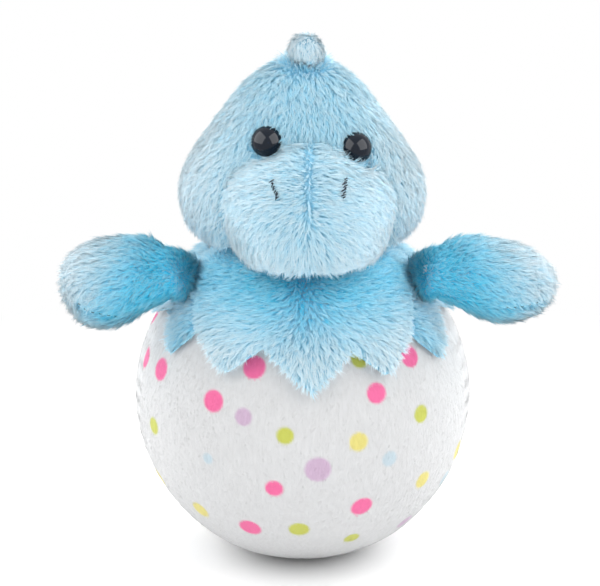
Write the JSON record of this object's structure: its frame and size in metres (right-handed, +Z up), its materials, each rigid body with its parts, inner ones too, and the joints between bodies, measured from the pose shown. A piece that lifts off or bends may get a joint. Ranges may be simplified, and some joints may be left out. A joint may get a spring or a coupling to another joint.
{
  "type": "plush toy",
  "caption": "Soft plush baby dinosaur hatching from a round polka dot egg, with paddle arms, a broad muzzle and a head that turns and nods.",
  "frame": {"origin": "middle of the flat base panel that the egg stands on", "axes": "+Z up through the egg and head, the face looks along -Y, +X to the viewer's right"},
  "size_m": [0.1326, 0.0925, 0.1458],
  "materials": {
    "blue_plush": "matte",
    "white_plush": "matte",
    "stuffing": "matte",
    "pellets": "matte",
    "eye_plastic": "gloss",
    "washer_plastic": "matte",
    "thread": "matte"
  },
  "bodies": {
    "egg_body": {"egg_front_panel": "white_plush", "egg_back_panel": "white_plush", "egg_base_panel": "white_plush", "body_stuffing": "stuffing", "pellet_bag": "pellets", "collar_front": "blue_plush", "collar_back": "blue_plush"},
    "neck": {"neck_plug": "blue_plush"},
    "head": {"head_panel_left": "blue_plush", "head_panel_right": "blue_plush", "muzzle_panel_left": "blue_plush", "muzzle_panel_right": "blue_plush", "head_stuffing": "stuffing", "crest_knob": "blue_plush", "eye_left": "eye_plastic", "eye_right": "eye_plastic", "eye_washer_left": "washer_plastic", "eye_washer_right": "washer_plastic", "nostril_left": "thread", "nostril_right": "thread"},
    "arm_left": {"arm_left_front_panel": "blue_plush", "arm_left_back_panel": "blue_plush", "arm_left_stuffing": "stuffing"},
    "arm_right": {"arm_right_front_panel": "blue_plush", "arm_right_back_panel": "blue_plush", "arm_right_stuffing": "stuffing"}
  },
  "joints": [
    {"name": "neck_turn", "type": "hinge", "parent": "egg_body", "child": "neck", "pos_m": [0, 0, 0.09182], "axis": [0, 0, 1], "range_deg": [-20, 20], "stiffness_Nm_per_rad": 0.2},
    {"name": "head_nod", "type": "hinge", "parent": "neck", "child": "head", "pos_m": [0, 0, 0.09182], "axis": [1, 0, 0], "range_deg": [-10, 5], "stiffness_Nm_per_rad": 0.4},
    {"name": "arm_left_raise", "type": "hinge", "parent": "egg_body", "child": "arm_left", "pos_m": [-0.03475, -0.01547, 0.08321], "axis": [0, 1, 0], "range_deg": [-15, 35], "stiffness_Nm_per_rad": 0.1},
    {"name": "arm_right_raise", "type": "hinge", "parent": "egg_body", "child": "arm_right", "pos_m": [0.03475, -0.01547, 0.08321], "axis": [0, -1, 0], "range_deg": [-15, 35], "stiffness_Nm_per_rad": 0.1}
  ]
}
